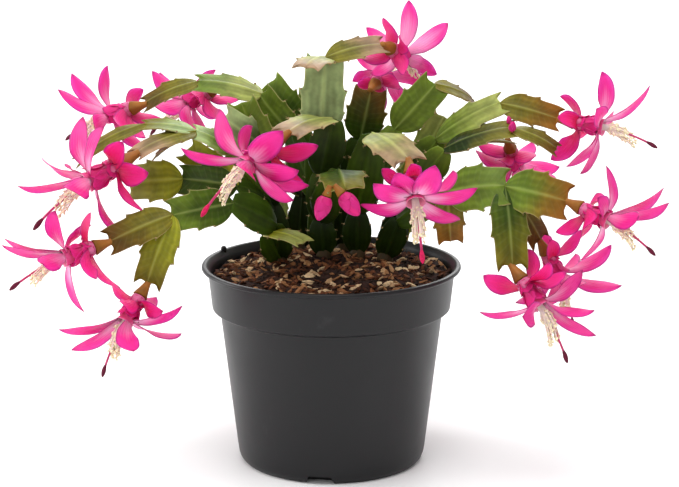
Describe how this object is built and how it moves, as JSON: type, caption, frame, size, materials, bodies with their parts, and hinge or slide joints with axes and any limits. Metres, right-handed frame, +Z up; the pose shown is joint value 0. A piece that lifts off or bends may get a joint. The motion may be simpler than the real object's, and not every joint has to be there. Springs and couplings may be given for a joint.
{
  "type": "potted christmas cactus",
  "caption": "Potted holiday cactus: arching chains of flat toothed stem segments tipped with drooping pink blooms, planted in bark mix in a plain dark nursery pot.",
  "frame": {"origin": "middle of the pot's flat underside", "axes": "+Z up out of the pot, +X along the plant's widest spread, -Y towards the side that shows the most blooms"},
  "size_m": [0.3144, 0.2294, 0.2297],
  "materials": {
    "pot": "charcoal moulded polypropylene, semi-matte, with a lighter worn lip",
    "soil": "damp dark bark mix with tan and reddish chips",
    "stem": "waxy green succulent stem with paler margins and midrib, olive to bronze on young tips",
    "petal": "satin hot pink petal, white towards the throat, crimson where it is thick",
    "stamen": "cream stamens with pale pollen"
  },
  "bodies": {
    "root": {"stem_centre": "stem", "stem_back_left": "stem", "stem_left": "stem", "stem_front_left": "stem", "stem_front": "stem", "stem_front_right": "stem", "stem_right": "stem", "stem_right_front": "stem", "stem_back": "stem", "stem_back_right": "stem", "pot": "pot", "soil": "soil", "bloom_1_petals": "petal", "bloom_1_stamens": "stamen", "bloom_2_petals": "petal", "bloom_2_stamens": "stamen", "bloom_3_petals": "petal", "bloom_3_stamens": "stamen", "bloom_4_petals": "petal", "bloom_4_stamens": "stamen", "bloom_5_petals": "petal", "bloom_5_stamens": "stamen", "bloom_6_petals": "petal", "bloom_6_stamens": "stamen", "bloom_7_petals": "petal", "bloom_7_stamens": "stamen", "bloom_8_petals": "petal", "bloom_8_stamens": "stamen", "bloom_9_petals": "petal", "bloom_9_stamens": "stamen", "bloom_10_petals": "petal", "bloom_10_stamens": "stamen", "bloom_11_petals": "petal", "bloom_11_stamens": "stamen", "bloom_12_petals": "petal", "bloom_12_stamens": "stamen", "bloom_13_petals": "petal", "bloom_13_stamens": "stamen", "bloom_14_petals": "petal", "bloom_14_stamens": "stamen", "bloom_15_petals": "petal", "bloom_15_stamens": "stamen", "bloom_16_petals": "petal", "bloom_16_stamens": "stamen", "bloom_17_petals": "petal", "bloom_17_stamens": "stamen", "bud_1": "petal", "bud_2": "petal", "bud_3": "petal", "bud_4": "petal"}
  },
  "joints": []
}
